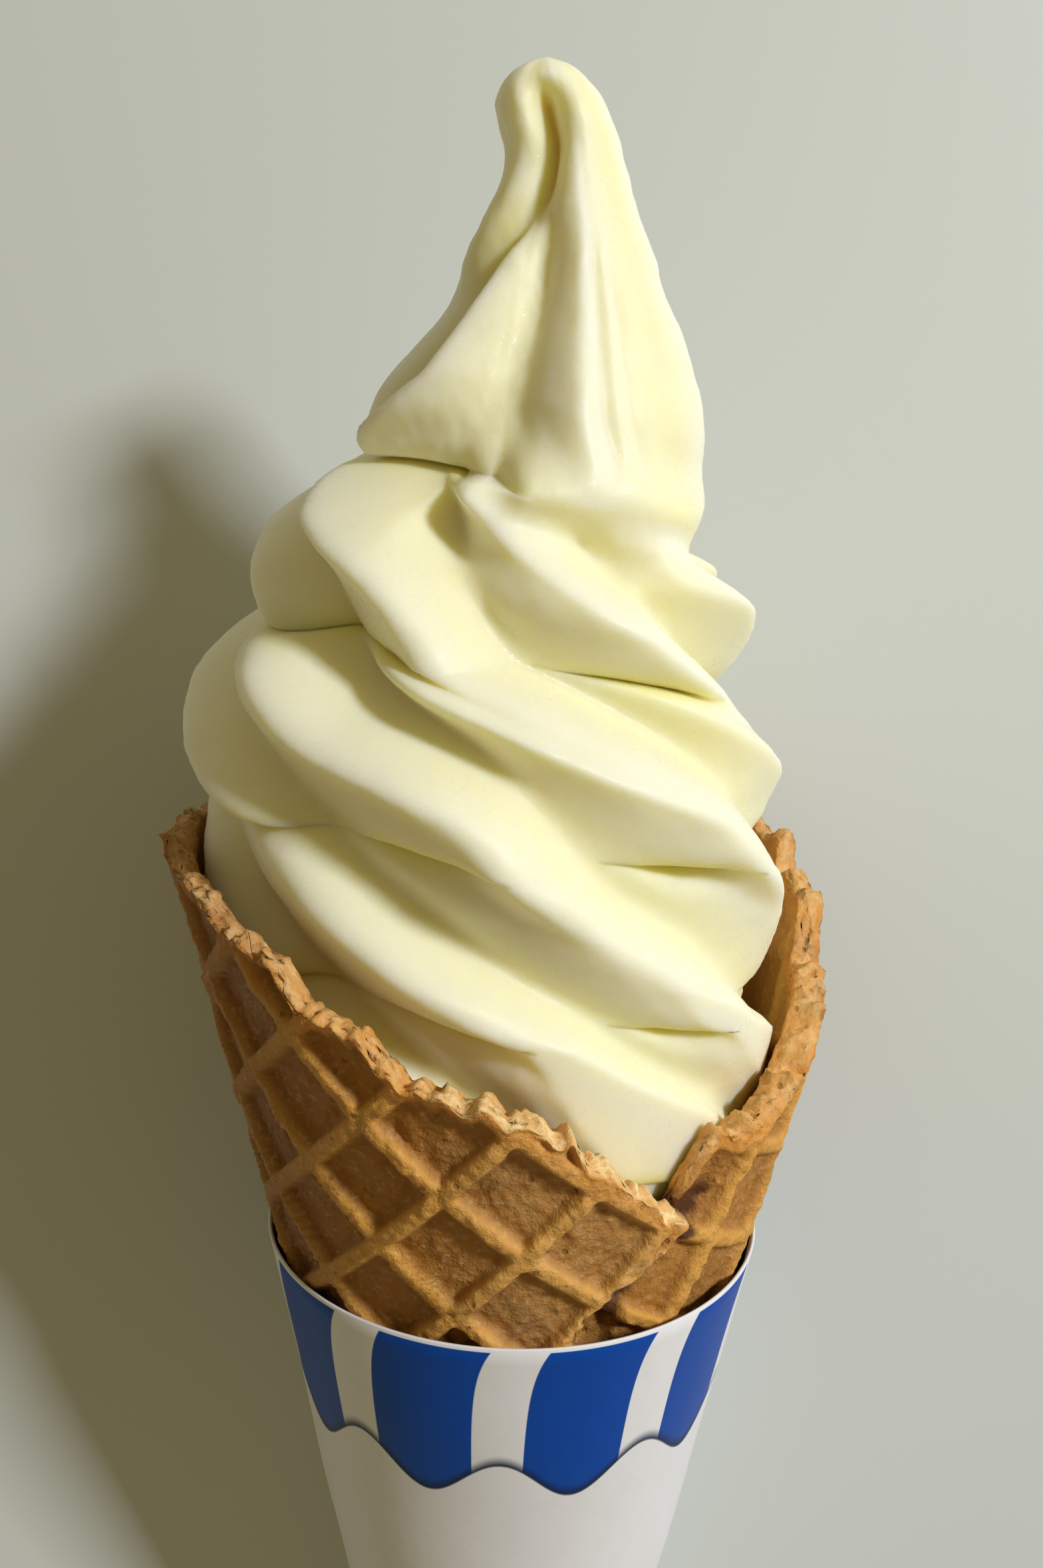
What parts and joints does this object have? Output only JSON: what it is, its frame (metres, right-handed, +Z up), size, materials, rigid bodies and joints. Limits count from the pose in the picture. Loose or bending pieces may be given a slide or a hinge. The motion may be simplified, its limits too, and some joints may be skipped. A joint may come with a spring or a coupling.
{
  "type": "soft serve cone",
  "caption": "Swirl of soft serve ice cream in a rolled waffle cone with a striped paper sleeve, lying on its back.",
  "frame": {"origin": "middle of the bottom of the whole, on the surface that the cone lies on", "axes": "+Y from the cone's narrow end towards the tip of the ice cream, +Z up out of the cone's front, +X to the right when the front is seen with the ice cream at the top"},
  "size_m": [0.0698, 0.2238, 0.0675],
  "materials": {
    "soft_serve": null,
    "waffle_cone": null,
    "paper_sleeve": "white paper printed with blue stripes, satin"
  },
  "bodies": {
    "root": {"soft_serve": "soft_serve", "waffle_cone": "waffle_cone", "paper_sleeve": "paper_sleeve"}
  },
  "joints": []
}
